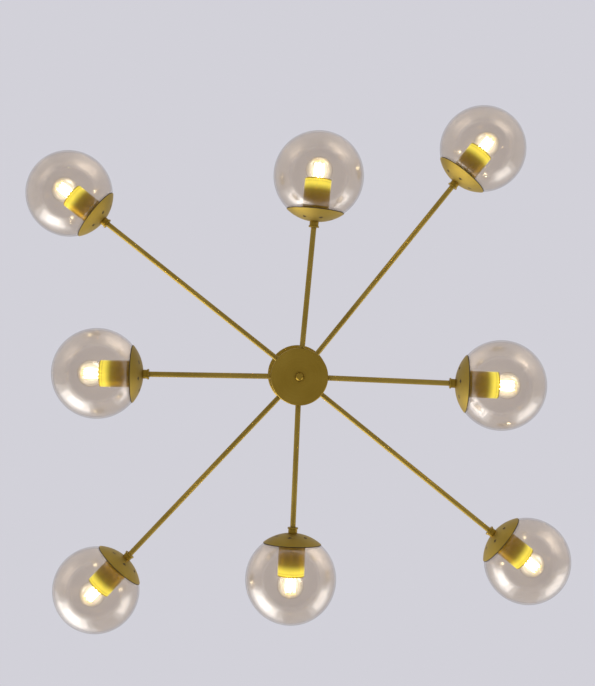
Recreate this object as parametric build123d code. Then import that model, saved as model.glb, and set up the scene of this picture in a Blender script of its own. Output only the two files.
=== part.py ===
from build123d import *
import os
from collections import namedtuple
from math import acos, atan2, cos, sin, sqrt

# Eight-globe chandelier on two turnable tiers.  Millimetres, +Z up.  The origin is the centre of
# the ceiling face, and everything hangs below it.  Each lamp is drawn about its globe's centre
# with +X pointing outwards, and each arm about the hub's axis with +X along the arm.

# --- Globe glass -----------------------------------------------------------------------------
globe_diameter = 150.0
glass_thickness = 2.5
globe_mouth_diameter = 76.0

# --- Tiers: the reach runs from the hub's axis to the globe's centre ---------------------------
upper_reach = 512.0
lower_reach = 335.0
tier_spacing = 117.0
drop_to_lower_tier = 530.0
upper_angles = (39.0, 133.5, 218.5, 309.0)
lower_angles = (2.5, 92.5, 181.0, 275.5)
upper_vent_turns = (16.0, -10.0, 23.0, 4.0)
lower_vent_turns = (-9.0, 10.0, -15.0, 21.0)

# --- Arm tubes ---------------------------------------------------------------------------------
arm_diameter = 9.0
arm_wall = 1.6
spigot_step = 0.5
arm_seat_depth = 1.0
wire_diameter = 3.2
wire_start = 9.0

# --- Hubs --------------------------------------------------------------------------------------
hub_diameter = 95.0
hub_height = 30.0
hub_wall = 2.5
hub_edge_radius = 2.4
lid_thickness = 2.5
lid_step = 2.0

# --- Lamp fittings -----------------------------------------------------------------------------
cap_over_mouth = 8.64
cap_thickness = 0.8
cap_seat_radius = 8.0
cap_seat_thickness = 1.0
vent_count = 6
vent_diameter = 4.0
vent_circle_radius = 27.3
gasket_thickness = 0.6
gasket_width = 4.5
gasket_proud = 1.2
collar_diameter = 15.0
collar_lip_diameter = 17.5
collar_length = 10.0
collar_lip_length = 2.6
collar_socket_depth = 7.0
sleeve_diameter = 44.0
sleeve_wall = 0.8
sleeve_floor = 1.0
sleeve_boss_radius = 9.0
sleeve_length = 65.3
sleeve_to_cap = 2.0
spring_thickness = 0.8
spring_width = 8.0
spring_finger_count = 3
spring_ring_radius = 20.0

# --- Small-screw lamp and its holder -------------------------------------------------------------
bulb_diameter = 45.0
bulb_length = 78.0
bulb_glass = 0.6
bulb_neck_radius = 6.6
bulb_cap_length = 25.5
bulb_neck_length = 4.0
bulb_base_radius = 6.9
filament_count = 6
filament_length = 26.0
filament_radius = 0.9
filament_spread = 8.0
holder_radius = 14.0
holder_neck_radius = 11.0
holder_neck_length = 8.0
holder_length = 41.3
holder_bore_radius = 8.2
holder_bore_depth = 28.0
contact_gap = 6.5
contact_shell_thickness = 0.6

# --- Nuts, screws and washers ----------------------------------------------------------------------
arm_nut_flats = 13.0
arm_nut_thickness = 4.0
pipe_nut_flats = 14.0
pipe_nut_thickness = 3.0
washer_radius = 9.5
washer_thickness = 1.0
earth_screw_diameter = 4.0
grub_screw_diameter = 3.0

# --- Centre pipe, stem, spacer and finial ------------------------------------------------------------
pipe_diameter = 10.0
pipe_bore = 7.0
stem_diameter = 13.0
thread_engagement = 22.0
stem_foot_radius = 12.0
stem_foot_height = 12.0
stem_foot_floor = 2.0
spacer_radius = 10.0
spacer_wall = 1.5
spacer_end = 6.0
finial_diameter = 15.0
finial_neck_wall = 2.0
finial_waist_wall = 1.2
finial_neck_length = 4.0
finial_thread_depth = 8.0
window_width = 4.0
window_height = 10.0

# --- Canopy and ceiling bracket ------------------------------------------------------------------------
canopy_diameter = 120.0
canopy_height = 30.0
canopy_wall = 1.0
canopy_edge_radius = 3.0
canopy_collar_radius = 11.0
canopy_collar_height = 10.0
bracket_length = 104.0
bracket_width = 26.0
bracket_sheet = 2.0
bracket_drop = 10.0
bracket_panel_length = 60.0
slot_spacing = 80.0
slot_length = 14.0
slot_width = 5.0
block_width = 14.0
block_length = 24.0
block_height = 12.0
block_centre_x = 20.0
block_pole_pitch = 4.5
block_entry_radius = 1.5
block_screw_radius = 1.8
cable_diameter = 4.0
cable_bend_radius = 5.0

# --- Fits ------------------------------------------------------------------------------------------------
thread_gap = 0.05
running_gap = 0.05
seal_gap = 0.05
canopy_gap = 0.5

# --- Derived sizes -----------------------------------------------------------------------------------------
globe_radius = globe_diameter / 2
globe_inner_radius = globe_radius - glass_thickness
mouth_radius = globe_mouth_diameter / 2
arm_radius = arm_diameter / 2
arm_bore_radius = arm_radius - arm_wall
spigot_radius = arm_radius - spigot_step
pipe_radius = pipe_diameter / 2
stem_radius = stem_diameter / 2
finial_neck_radius = pipe_radius + finial_neck_wall
finial_waist_radius = pipe_radius + finial_waist_wall
hub_radius = hub_diameter / 2
hub_inner_radius = hub_radius - hub_wall
sleeve_radius = sleeve_diameter / 2
bulb_radius = bulb_diameter / 2

lower_z = -drop_to_lower_tier
upper_z = lower_z + tier_spacing

cap_inner_radius = globe_radius + gasket_thickness
cap_outer_radius = cap_inner_radius + cap_thickness
cap_rim_distance = sqrt(cap_inner_radius ** 2 - (mouth_radius + cap_over_mouth) ** 2)
cap_back = -sqrt(cap_outer_radius ** 2 - cap_seat_radius ** 2)
cap_floor = cap_back + cap_seat_thickness
sleeve_back = -sqrt(cap_inner_radius ** 2 - sleeve_radius ** 2) + sleeve_to_cap
sleeve_front = sleeve_back + sleeve_length
sleeve_inside = sleeve_back + sleeve_floor
holder_back = sleeve_inside + arm_nut_thickness
holder_front = holder_back + holder_length
holder_bore_end = holder_front - holder_bore_depth
spigot_end = holder_back + holder_neck_length - 1.0
arm_shoulder = cap_back - (collar_length - collar_socket_depth)
bulb_tip = holder_bore_end + contact_gap
bulb_centre = bulb_tip + bulb_length - bulb_radius
bulb_neck_start = bulb_tip + bulb_cap_length
bulb_neck_end = bulb_neck_start - bulb_neck_length

arm_seat = sqrt(hub_radius ** 2 - arm_radius ** 2) - arm_seat_depth
nut_corner = arm_nut_flats / sqrt(3)
arm_nut_face = sqrt(hub_inner_radius ** 2 - nut_corner ** 2) - seal_gap
arm_start = arm_nut_face - arm_nut_thickness - 2.0

panel_top = -bracket_drop
panel_bottom = panel_top - bracket_sheet
stem_top = panel_bottom - pipe_nut_thickness
nipple_top = panel_top + pipe_nut_thickness + 0.5
lid_top = hub_height / 2 + lid_thickness
washer_stack = running_gap + washer_thickness
stem_foot_bottom = upper_z + lid_top + washer_stack
stem_bottom = stem_foot_bottom + stem_foot_floor
finial_top = lower_z - hub_height / 2 - washer_stack

Tier = namedtuple("Tier", "name z reach angles vent_turns")
tiers = (
    Tier("upper", upper_z, upper_reach, upper_angles, upper_vent_turns),
    Tier("lower", lower_z, lower_reach, lower_angles, lower_vent_turns),
)


# --- Small helpers -------------------------------------------------------------------------------------------
def turned_on_x(profile):
    """Solid of revolution about X from (x, radius) points."""
    return revolve(make_face(Polyline(*profile, close=True)), Axis.X)


def turned_on_z(profile):
    """Solid of revolution about Z from (radius, z) points."""
    return revolve(Plane.XZ * make_face(Polyline(*profile, close=True)), Axis.Z)


def rod_x(radius, start, end):
    """Cylinder along X between two places."""
    return Pos((start + end) / 2, 0, 0) * Rot(0, 90, 0) * Cylinder(radius, end - start)


def rod_z(radius, low, high):
    """Cylinder along Z between two heights."""
    return Pos(0, 0, (low + high) / 2) * Cylinder(radius, high - low)


def tube_z(outer, inner, low, high):
    """Plain tube along Z."""
    return rod_z(outer, low, high) - rod_z(inner, low, high)


def hex_nut(flats, hole_radius, thickness):
    """Hexagon nut on Z, its lower face at Z = 0."""
    body = extrude(RegularPolygon(flats / 2, 6, major_radius=False), thickness)
    return body - rod_z(hole_radius, 0, thickness)


def nut_on_x(start):
    """Arm nut on X, its inner face at the given place."""
    nut = hex_nut(arm_nut_flats, spigot_radius + thread_gap, arm_nut_thickness)
    return Pos(start, 0, 0) * Rot(0, 90, 0) * nut


def on_sphere(radius, off_axis):
    """Point of the globe's back half, at a radius from its centre and a distance off its axis."""
    return (-sqrt(radius ** 2 - off_axis ** 2), off_axis)


def slab_x(start, end, reach):
    """Wide slab between two places on X."""
    return Pos((start + end) / 2, 0, 0) * Box(end - start, reach, reach)


# --- Pieces of one lamp, about the globe's centre ----------------------------------------------------------------
def globe():
    mouth = rod_x(mouth_radius, -globe_radius - 1, -globe_radius / 2)
    return Sphere(globe_radius) - Sphere(globe_inner_radius) - mouth


def cap(vent_turn):
    seat_edge = sqrt(cap_inner_radius ** 2 - cap_floor ** 2)
    dome = Sphere(cap_outer_radius) - Sphere(cap_inner_radius)
    dome = dome + rod_x(seat_edge, cap_back, cap_floor)
    dome = dome & slab_x(cap_back, -cap_rim_distance, 4 * globe_radius)
    dome = dome - rod_x(spigot_radius + thread_gap, cap_back - 1, cap_floor + 1)
    vent = Pos(0, 0, -vent_circle_radius) * rod_x(vent_diameter / 2, cap_back - 1, -cap_rim_distance)
    for number in range(vent_count):
        dome = dome - Rot(vent_turn + number * 360 / vent_count, 0, 0) * vent
    return dome


def rim_gasket():
    band = Sphere(cap_inner_radius - seal_gap) - Sphere(globe_radius + seal_gap)
    front = -cap_rim_distance + gasket_proud
    return band & slab_x(front - gasket_width, front, 4 * globe_radius)


def collar():
    body = collar_diameter / 2
    lip = collar_lip_diameter / 2
    back = cap_back - collar_length
    step = back + collar_lip_length
    hole = spigot_radius + thread_gap
    socket = arm_radius + thread_gap
    return turned_on_x([
        (cap_back, hole), (cap_back, body - 0.6), (cap_back - 0.6, body), (step, body),
        (step, lip - 0.4), (step - 0.4, lip), (back + 0.4, lip), (back, lip - 0.4),
        (back, socket), (arm_shoulder, socket), (arm_shoulder, hole),
    ])


def sleeve():
    inner = sleeve_radius - sleeve_wall
    hole = spigot_radius + thread_gap
    return turned_on_x([
        (cap_floor, hole), (cap_floor, sleeve_boss_radius), (sleeve_back, sleeve_boss_radius),
        (sleeve_back, sleeve_radius), (sleeve_front, sleeve_radius), (sleeve_front, inner),
        (sleeve_inside, inner), (sleeve_inside, hole),
    ])


def globe_spring():
    """Flat ring round the sleeve's boss with fingers that hook behind the globe's mouth."""
    centre = sleeve_back - spring_thickness / 2
    path = Polyline(
        (centre, spring_ring_radius - 4),
        (centre, sleeve_radius + 1.5),
        on_sphere(globe_radius - 1.8, mouth_radius - 3.4),
        on_sphere(globe_inner_radius - 1.5, mouth_radius - 1.4),
        on_sphere(globe_inner_radius - spring_thickness / 2 - 0.1, mouth_radius + 2.0),
    )
    finger = extrude(trace(path, spring_thickness), spring_width / 2, both=True)
    ring = rod_x(spring_ring_radius, sleeve_back - spring_thickness, sleeve_back)
    for number in range(spring_finger_count):
        ring = ring + Rot(number * 360 / spring_finger_count, 0, 0) * finger
    return ring - rod_x(sleeve_boss_radius + thread_gap, cap_floor, sleeve_inside)


def lampholder():
    hole = spigot_radius + thread_gap
    neck_end = holder_back + holder_neck_length
    return turned_on_x([
        (holder_back, hole), (holder_back, holder_neck_radius), (neck_end, holder_neck_radius),
        (neck_end + 3, holder_radius), (holder_front - 2, holder_radius),
        (holder_front, holder_radius - 1.5), (holder_front, holder_bore_radius),
        (holder_bore_end, holder_bore_radius), (holder_bore_end, hole),
    ])


def holder_contacts():
    """Screw shell and centre contact of the lampholder, as two solids."""
    outer = holder_bore_radius - thread_gap
    shell = rod_x(outer, holder_bore_end + 2, holder_front - 3)
    shell = shell - rod_x(outer - contact_shell_thickness, holder_bore_end, holder_front)
    tongue = rod_x(2.0, holder_bore_end - 2, bulb_tip - thread_gap)
    return [shell, tongue]


def bulb_body(shrink):
    """Solid round bulb whose cone leaves its ball at a tangent, drawn in by an amount."""
    radius = bulb_radius - shrink
    neck = bulb_neck_radius - shrink
    span = bulb_centre - bulb_neck_start
    away = sqrt(span ** 2 + neck ** 2)
    turn = atan2(neck, -span) - acos(radius / away)
    joint = (bulb_centre + radius * cos(turn), radius * sin(turn))
    stalk = turned_on_x([
        (bulb_neck_end, 0), (bulb_neck_end, neck), (bulb_neck_start, neck), joint,
        (bulb_centre, 0),
    ])
    return stalk + Pos(bulb_centre, 0, 0) * Sphere(radius)


def bulb_envelope():
    opening = rod_x(bulb_neck_radius - bulb_glass, bulb_neck_end - 1, bulb_neck_end + 1)
    return bulb_body(0) - bulb_body(bulb_glass) - opening


def bulb_base():
    skirt = bulb_neck_radius + thread_gap
    edge = bulb_base_radius + 0.4
    top = bulb_neck_start - 1
    return turned_on_x([
        (bulb_tip, 0), (bulb_tip, 2.0), (bulb_tip + 1.5, 2.5), (bulb_tip + 3.5, 5.5),
        (bulb_tip + 4.5, bulb_base_radius), (bulb_neck_end - 4, bulb_base_radius),
        (bulb_neck_end - 2, edge), (top, edge), (top, skirt), (bulb_neck_end, skirt),
        (bulb_neck_end, 0),
    ])


def filament():
    """Glass stem with a ring of straight filaments between two small wire spiders."""
    half = filament_length / 2
    low = bulb_centre - half
    high = bulb_centre + half
    frame = rod_x(1.4, bulb_neck_end, high)
    frame = frame + rod_x(3.0, bulb_neck_end, bulb_neck_start + 8)
    strip = Pos(0, 0, filament_spread) * rod_x(filament_radius, low, high)
    spoke = Pos(0, 0, filament_spread / 2) * Cylinder(0.5, filament_spread)
    for number in range(filament_count):
        around = Rot(45 + number * 360 / filament_count, 0, 0)
        frame = frame + around * strip
        frame = frame + around * Pos(low + 1, 0, 0) * spoke
        frame = frame + around * Pos(high - 1, 0, 0) * spoke
    return frame


# --- Pieces of one arm, about the hub's axis -----------------------------------------------------------------------
def arm(reach):
    """Arm tube with a turned-down spigot at each end."""
    bore = arm_bore_radius
    shoulder = reach + arm_shoulder
    end = reach + spigot_end
    return turned_on_x([
        (arm_start, bore), (arm_start, spigot_radius), (arm_seat, spigot_radius),
        (arm_seat, arm_radius), (shoulder, arm_radius), (shoulder, spigot_radius),
        (end, spigot_radius), (end, bore),
    ])


def arm_wire(reach):
    return rod_x(wire_diameter / 2, wire_start, reach + spigot_end + 1.5)


# --- Hubs ------------------------------------------------------------------------------------------------------------
def hub_shell(tier):
    """Round cup, open at the top, with a seated hole for each arm."""
    low = -hub_height / 2
    high = hub_height / 2
    cup = fillet(rod_z(hub_radius, low, high).edges().group_by(Axis.Z)[0], hub_edge_radius)
    cup = cup - rod_z(hub_inner_radius, low + hub_wall, high)
    cup = cup - rod_z(pipe_radius + running_gap, low, low + hub_wall)
    for angle in tier.angles:
        turn = Rot(0, 0, angle)
        cup = cup - turn * rod_x(spigot_radius + thread_gap, hub_inner_radius - 3, hub_radius + 1)
        cup = cup - turn * rod_x(arm_radius + thread_gap, arm_seat, hub_radius + 1)
    return Pos(0, 0, tier.z) * cup


def hub_lid(tier):
    """Plate on the cup's rim with a step that centres it."""
    rim = hub_height / 2
    step = hub_inner_radius - thread_gap
    hole = pipe_radius + running_gap
    plate = turned_on_z([
        (hole, rim - lid_step), (step, rim - lid_step), (step, rim), (hub_radius, rim),
        (hub_radius, lid_top - 1), (hub_radius - 1, lid_top), (hole, lid_top),
    ])
    return Pos(0, 0, tier.z) * plate


# --- Centre line -------------------------------------------------------------------------------------------------------
def centre_pipe():
    """Threaded pipe that carries both hubs, with a wire window inside each."""
    low = finial_top - finial_thread_depth
    high = stem_bottom + thread_engagement
    pipe = tube_z(pipe_radius, pipe_bore / 2, low, high)
    for tier in tiers:
        pipe = pipe - Pos(0, 0, tier.z) * Box(4 * pipe_radius, window_width, window_height)
    return pipe


def stem():
    return tube_z(stem_radius, pipe_radius + thread_gap, stem_bottom, stem_top)


def stem_foot():
    inner = stem_radius + thread_gap
    low = stem_foot_bottom
    high = low + stem_foot_height
    return turned_on_z([
        (pipe_radius + thread_gap, low), (stem_foot_radius, low), (stem_foot_radius, high - 6),
        (stem_radius + 2, high), (inner, high), (inner, stem_bottom),
        (pipe_radius + thread_gap, stem_bottom),
    ])


def hub_spacer():
    """Tube between the hubs, with thick ends bored for the pipe."""
    low = lower_z + lid_top + washer_stack
    high = upper_z - hub_height / 2 - washer_stack
    wide = spacer_radius - spacer_wall
    narrow = pipe_radius + thread_gap
    return turned_on_z([
        (narrow, low), (spacer_radius, low), (spacer_radius, high), (narrow, high),
        (narrow, high - spacer_end), (wide, high - spacer_end), (wide, low + spacer_end),
        (narrow, low + spacer_end),
    ])


def friction_washers():
    """One thin washer above and below each hub, the lowest no wider than the finial's neck."""
    hole = pipe_radius + thread_gap
    places = [(finial_neck_radius, finial_top)]
    for tier in tiers:
        places.append((washer_radius, tier.z + lid_top + running_gap))
    places.append((washer_radius, upper_z - hub_height / 2 - washer_stack))
    return [tube_z(radius, hole, low, low + washer_thickness) for radius, low in places]


def finial():
    ball_radius = finial_diameter / 2
    drop = finial_neck_length + sqrt(ball_radius ** 2 - finial_waist_radius ** 2)
    knob = turned_on_z([
        (0, finial_top), (finial_neck_radius, finial_top),
        (finial_neck_radius, finial_top - 1.5),
        (finial_waist_radius, finial_top - finial_neck_length),
        (finial_waist_radius, finial_top - drop), (0, finial_top - drop),
    ])
    knob = knob + Pos(0, 0, finial_top - drop) * Sphere(ball_radius)
    knob = knob & rod_z(2 * ball_radius, finial_top - drop - ball_radius, finial_top)
    return knob - rod_z(pipe_radius + thread_gap, finial_top - finial_thread_depth - 1, finial_top)


# --- Ceiling fixing --------------------------------------------------------------------------------------------------------
def ceiling_bracket():
    """Top-hat bar: two slotted feet on the ceiling and a dropped middle panel."""
    half = bracket_length / 2
    knee = bracket_panel_length / 2
    outline = [
        (half, 0), (knee - bracket_sheet, 0), (knee - bracket_sheet, panel_top),
        (-knee + bracket_sheet, panel_top), (-knee + bracket_sheet, 0), (-half, 0),
        (-half, -bracket_sheet), (-knee, -bracket_sheet), (-knee, panel_bottom),
        (knee, panel_bottom), (knee, -bracket_sheet), (half, -bracket_sheet),
    ]
    profile = Plane.XZ * make_face(Polyline(*outline, close=True))
    bar = extrude(profile, bracket_width / 2, both=True)
    slot = extrude(SlotOverall(slot_length, slot_width), bracket_sheet + 2, both=True)
    for side in (-1, 1):
        bar = bar - Pos(side * slot_spacing / 2, 0, 0) * slot
    bar = bar - rod_z(pipe_radius + thread_gap, panel_bottom - 1, panel_top + 1)
    earth_hole = rod_z(earth_screw_diameter / 2 + thread_gap, panel_bottom - 1, panel_top + 1)
    return bar - Pos(-block_centre_x, 0, 0) * earth_hole


def stem_nipple():
    return tube_z(pipe_radius, pipe_bore / 2, stem_top - thread_engagement, nipple_top)


def bracket_nuts():
    nut = hex_nut(pipe_nut_flats, pipe_radius + thread_gap, pipe_nut_thickness)
    return [Pos(0, 0, panel_top) * nut, Pos(0, 0, panel_bottom - pipe_nut_thickness) * nut]


def terminal_block():
    top = panel_bottom
    block = Pos(0, 0, top - block_height / 2) * Box(block_width, block_length, block_height)
    for pole in (-1, 0, 1):
        x = pole * block_pole_pitch
        entry = Pos(x, 0, top - block_height / 2) * Rot(90, 0, 0)
        block = block - entry * Cylinder(block_entry_radius, block_length)
        for side in (-1, 1):
            screw_hole = rod_z(block_screw_radius, top - block_height, top - block_height / 2)
            block = block - Pos(x, side * block_length / 4, 0) * screw_hole
    return Pos(block_centre_x, 0, 0) * block


def earth_screw():
    """Screw and washer under the panel for the earth wire."""
    head_top = panel_bottom - washer_thickness
    shank = rod_z(earth_screw_diameter / 2, head_top, panel_top + 3)
    washer = rod_z(earth_screw_diameter, head_top, panel_bottom)
    head = rod_z(earth_screw_diameter * 0.9, head_top - 2.4, head_top)
    slot = Pos(0, 0, head_top - 2.4) * Box(earth_screw_diameter * 2, 1.0, 1.6)
    return Pos(-block_centre_x, 0, 0) * (shank + washer + head - slot)


def supply_cable():
    """Cable from the terminal block over the bracket and down the pipe to the lower hub."""
    over = -(bracket_drop - pipe_nut_thickness) / 2 + 0.4
    beside = bracket_width / 2 + cable_bend_radius + 1.5
    middle = panel_bottom - block_height / 2
    route = FilletPolyline(
        (0, 0, lower_z - window_height / 2), (0, 0, over), (block_centre_x, beside, over),
        (block_centre_x, beside, middle), (block_centre_x, block_length / 2, middle),
        radius=cable_bend_radius,
    )
    section = Plane(origin=route @ 0, z_dir=route % 0) * Circle(cable_diameter / 2)
    return sweep(section, path=route)


def canopy():
    radius = canopy_diameter / 2
    cup = fillet(rod_z(radius, -canopy_height, 0).edges().group_by(Axis.Z)[0], canopy_edge_radius)
    hollow = rod_z(radius - canopy_wall, canopy_wall - canopy_height, canopy_wall)
    inner_edge = hollow.edges().group_by(Axis.Z)[0]
    hollow = fillet(inner_edge, canopy_edge_radius - canopy_wall)
    return cup - hollow - rod_z(stem_radius + canopy_gap, -canopy_height, 0)


def canopy_collar():
    high = -canopy_height
    low = high - canopy_collar_height
    hole = stem_radius + running_gap
    ring = turned_on_z([
        (hole, low), (canopy_collar_radius - 1, low), (canopy_collar_radius, low + 1),
        (canopy_collar_radius, high), (hole, high),
    ])
    middle = (low + high) / 2
    screw_hole = rod_x(grub_screw_diameter / 2 + thread_gap, 0, canopy_collar_radius + 1)
    return ring - Pos(0, 0, middle) * screw_hole


def collar_screw():
    middle = -canopy_height - canopy_collar_height / 2
    start = stem_radius + 2 * running_gap
    end = canopy_collar_radius - 0.5
    screw = rod_x(grub_screw_diameter / 2, start, end)
    slot = Pos(end, 0, 0) * Box(1.4, grub_screw_diameter * 2, 0.6)
    return Pos(0, 0, middle) * (screw - slot)


# --- Assembly ----------------------------------------------------------------------------------------------------------------
def save(name, shape):
    """Write one node; a list of solids becomes one group."""
    if isinstance(shape, list):
        shape = Compound(children=shape)
    export_step(shape, "parts/" + name + ".step")


def arm_frames(tier):
    """Place of each arm's hub end: X runs out along the arm."""
    return [Pos(0, 0, tier.z) * Rot(0, 0, angle) for angle in tier.angles]


def save_tier(tier):
    frames = arm_frames(tier)
    lamps = [frame * Pos(tier.reach, 0, 0) for frame in frames]
    save(tier.name + "_hub_shell", hub_shell(tier))
    save(tier.name + "_hub_lid", hub_lid(tier))
    for number, (frame, lamp) in enumerate(zip(frames, lamps), 1):
        save(tier.name + "_arm_" + str(number), frame * arm(tier.reach))
        save(tier.name + "_globe_" + str(number), lamp * globe())
    hub_nut = nut_on_x(arm_nut_face - arm_nut_thickness)
    lamp_nut = nut_on_x(sleeve_inside)
    nuts = [frame * hub_nut for frame in frames] + [lamp * lamp_nut for lamp in lamps]
    save(tier.name + "_arm_nuts", nuts)
    save(tier.name + "_arm_wires", [frame * arm_wire(tier.reach) for frame in frames])
    caps = [lamp * cap(turn) for lamp, turn in zip(lamps, tier.vent_turns)]
    save(tier.name + "_caps", caps)
    like_pieces = {
        "rim_gaskets": rim_gasket(), "collars": collar(), "sleeves": sleeve(),
        "globe_springs": globe_spring(), "lampholders": lampholder(),
        "bulb_envelopes": bulb_envelope(), "bulb_bases": bulb_base(), "filaments": filament(),
    }
    for name, piece in like_pieces.items():
        save(tier.name + "_" + name, [lamp * piece for lamp in lamps])
    contacts = [lamp * piece for lamp in lamps for piece in holder_contacts()]
    save(tier.name + "_holder_contacts", contacts)


def save_centre():
    pieces = {
        "ceiling_bracket": ceiling_bracket(), "stem_nipple": stem_nipple(),
        "bracket_nuts": bracket_nuts(), "terminal_block": terminal_block(),
        "earth_screw": earth_screw(), "supply_cable": supply_cable(),
        "canopy": canopy(), "canopy_collar": canopy_collar(), "collar_screw": collar_screw(),
        "stem": stem(), "stem_foot": stem_foot(), "centre_pipe": centre_pipe(),
        "hub_spacer": hub_spacer(), "friction_washers": friction_washers(), "finial": finial(),
    }
    for name, piece in pieces.items():
        save(name, piece)


os.makedirs("parts", exist_ok=True)
for each_tier in tiers:
    save_tier(each_tier)
save_centre()
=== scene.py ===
"""Finishes an eight-globe chandelier around its packed frame.

Every size is in metres and in the frame's own axes: the origin is the centre of the ceiling face, +Z is
up, and each lamp is drawn on +X about its globe's centre before it is put on its arm.
"""

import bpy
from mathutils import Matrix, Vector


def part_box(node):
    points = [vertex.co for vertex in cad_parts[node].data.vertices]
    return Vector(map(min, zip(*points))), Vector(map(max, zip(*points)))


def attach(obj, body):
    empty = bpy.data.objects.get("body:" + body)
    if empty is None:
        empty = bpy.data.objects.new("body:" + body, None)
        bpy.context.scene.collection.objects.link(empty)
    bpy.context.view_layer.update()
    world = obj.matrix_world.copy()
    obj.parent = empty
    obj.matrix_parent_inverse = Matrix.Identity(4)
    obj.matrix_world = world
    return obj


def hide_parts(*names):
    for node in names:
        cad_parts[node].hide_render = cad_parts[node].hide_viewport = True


bl_info = {
    "name": "Globe chandelier",
    "version": (1, 0, 0),
    "blender": (4, 5, 0),
    "location": "3D View > Sidebar > Chandelier",
    "description": "Builds the glass, brass and lamps of a two-tier globe chandelier",
    "category": "Object",
}

from math import acos, atan2, cos, pi, radians, sin, sqrt

import bpy
from bpy.props import FloatProperty, FloatVectorProperty, IntProperty, PointerProperty
from mathutils import Matrix, Vector

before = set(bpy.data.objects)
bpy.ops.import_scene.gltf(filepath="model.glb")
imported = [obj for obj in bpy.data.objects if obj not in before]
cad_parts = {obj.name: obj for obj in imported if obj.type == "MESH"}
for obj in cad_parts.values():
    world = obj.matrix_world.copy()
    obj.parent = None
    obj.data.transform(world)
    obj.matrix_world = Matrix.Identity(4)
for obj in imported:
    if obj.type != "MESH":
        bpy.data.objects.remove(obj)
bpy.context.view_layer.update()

MM = 0.001
TIERS = ("upper", "lower")
ARMS = (1, 2, 3, 4)
HOLE_FACETS = 28
FINE_RINGS = 1500.0
BRUSH_DEPTH = 0.06 * MM


# --- What the frame says ---
def globe_radius():
    low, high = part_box("upper_globe_1")
    return (high.z - low.z) / 2


def tier_height(tier):
    low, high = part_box(f"{tier}_globe_1")
    return (high.z + low.z) / 2


def arm_angle(tier, arm):
    """Turn of one arm about the hub's axis, from the middle of its tube."""
    low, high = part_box(f"{tier}_arm_{arm}")
    return atan2(low.y + high.y, low.x + high.x)


def arm_angles(tier):
    return [arm_angle(tier, arm) for arm in ARMS]


def tier_reach(tier):
    """Distance from the hub's axis to the globes' centres."""
    angle = arm_angle(tier, 1)
    outward = Vector((cos(angle), sin(angle), 0))
    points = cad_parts[f"{tier}_globe_1"].data.vertices
    return max(point.co.dot(outward) for point in points) - globe_radius()


# --- Sizes and finishes that a user would change ---
def length(name, millimetres, description):
    return FloatProperty(
        name=name, description=description, default=millimetres * MM, min=0.0, unit="LENGTH", precision=5
    )


def share(name, value, description):
    return FloatProperty(name=name, description=description, default=value, min=0.0, max=1.0, subtype="FACTOR")


def amount(name, value, description, unit="NONE"):
    return FloatProperty(name=name, description=description, default=value, unit=unit)


def colour(name, value, description):
    return FloatVectorProperty(
        name=name, description=description, default=value, size=3, min=0.0, max=1.0, subtype="COLOR"
    )


def turns(name, values, description):
    return FloatVectorProperty(
        name=name, description=description, default=[radians(value) for value in values], size=4, unit="ROTATION"
    )


class GlassSettings(bpy.types.PropertyGroup):
    """Globes and their clear, lightly tinted glass."""

    wall: length("Wall", 2.5, "Thickness of the blown glass")
    mouth: length("Mouth radius", 38.0, "Radius of the opening under the cap")
    tint: colour("Tint", (0.904, 0.872, 0.832), "What one face of the glass lets through, seen straight on")
    edge_tint: colour("Edge tint", (0.66, 0.64, 0.63), "What one face lets through at the outline")
    waviness: amount("Waviness", 0.22, "Strength of the slow ripple in the blown glass")
    segments: IntProperty(name="Segments", description="Facets round each globe", default=112, min=24)


class CapSettings(bpy.types.PropertyGroup):
    """Spun caps, their vents, rubber rings, collars and lamp sleeves."""

    seal: length("Rubber thickness", 0.6, "Gap between the globe and the cap, filled by the rubber ring")
    sheet: length("Sheet", 0.8, "Thickness of the spun cap")
    rim: length("Rim distance", 59.5, "From the globe's centre back to the cap's rim")
    seat: length("Seat radius", 8.0, "Radius of the flat under the collar")
    seat_sheet: length("Seat thickness", 1.0, "Thickness of the flat under the collar")
    bore: length("Bore", 4.05, "Radius of the hole for the arm's spigot")
    vents: IntProperty(name="Vents", description="Number of vent holes in a cap", default=6, min=1)
    vent_radius: length("Vent radius", 2.0, "Radius of each vent hole")
    vent_circle: length("Vent circle", 27.3, "Radius of the circle that the vents lie on")
    upper_turns: turns("Upper cap turns", (16.0, -10.0, 23.0, 4.0), "Turn of each upper cap on its arm")
    lower_turns: turns("Lower cap turns", (-9.0, 10.0, -15.0, 21.0), "Turn of each lower cap on its arm")
    proud: length("Rubber showing", 1.2, "How far the rubber ring shows past the rim")
    rubber_width: length("Rubber width", 4.5, "Width of the rubber ring")
    collar: length("Collar radius", 7.5, "Radius of the collar's body")
    collar_lip: length("Lip radius", 8.75, "Radius of the collar's lip at the arm")
    collar_length: length("Collar length", 10.0, "Length of the collar")
    lip_length: length("Lip length", 2.6, "Length of the collar's lip")
    sleeve: length("Sleeve radius", 22.0, "Radius of the lamp sleeve")
    sleeve_sheet: length("Sleeve wall", 0.8, "Wall of the lamp sleeve")
    sleeve_length: length("Sleeve length", 65.3, "From the sleeve's back edge to its front edge")
    sleeve_gap: length("Sleeve to cap", 2.0, "Clearance between the sleeve's back edge and the cap")
    sleeve_boss: length("Sleeve boss", 9.0, "Radius of the boss that seats on the cap")


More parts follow.
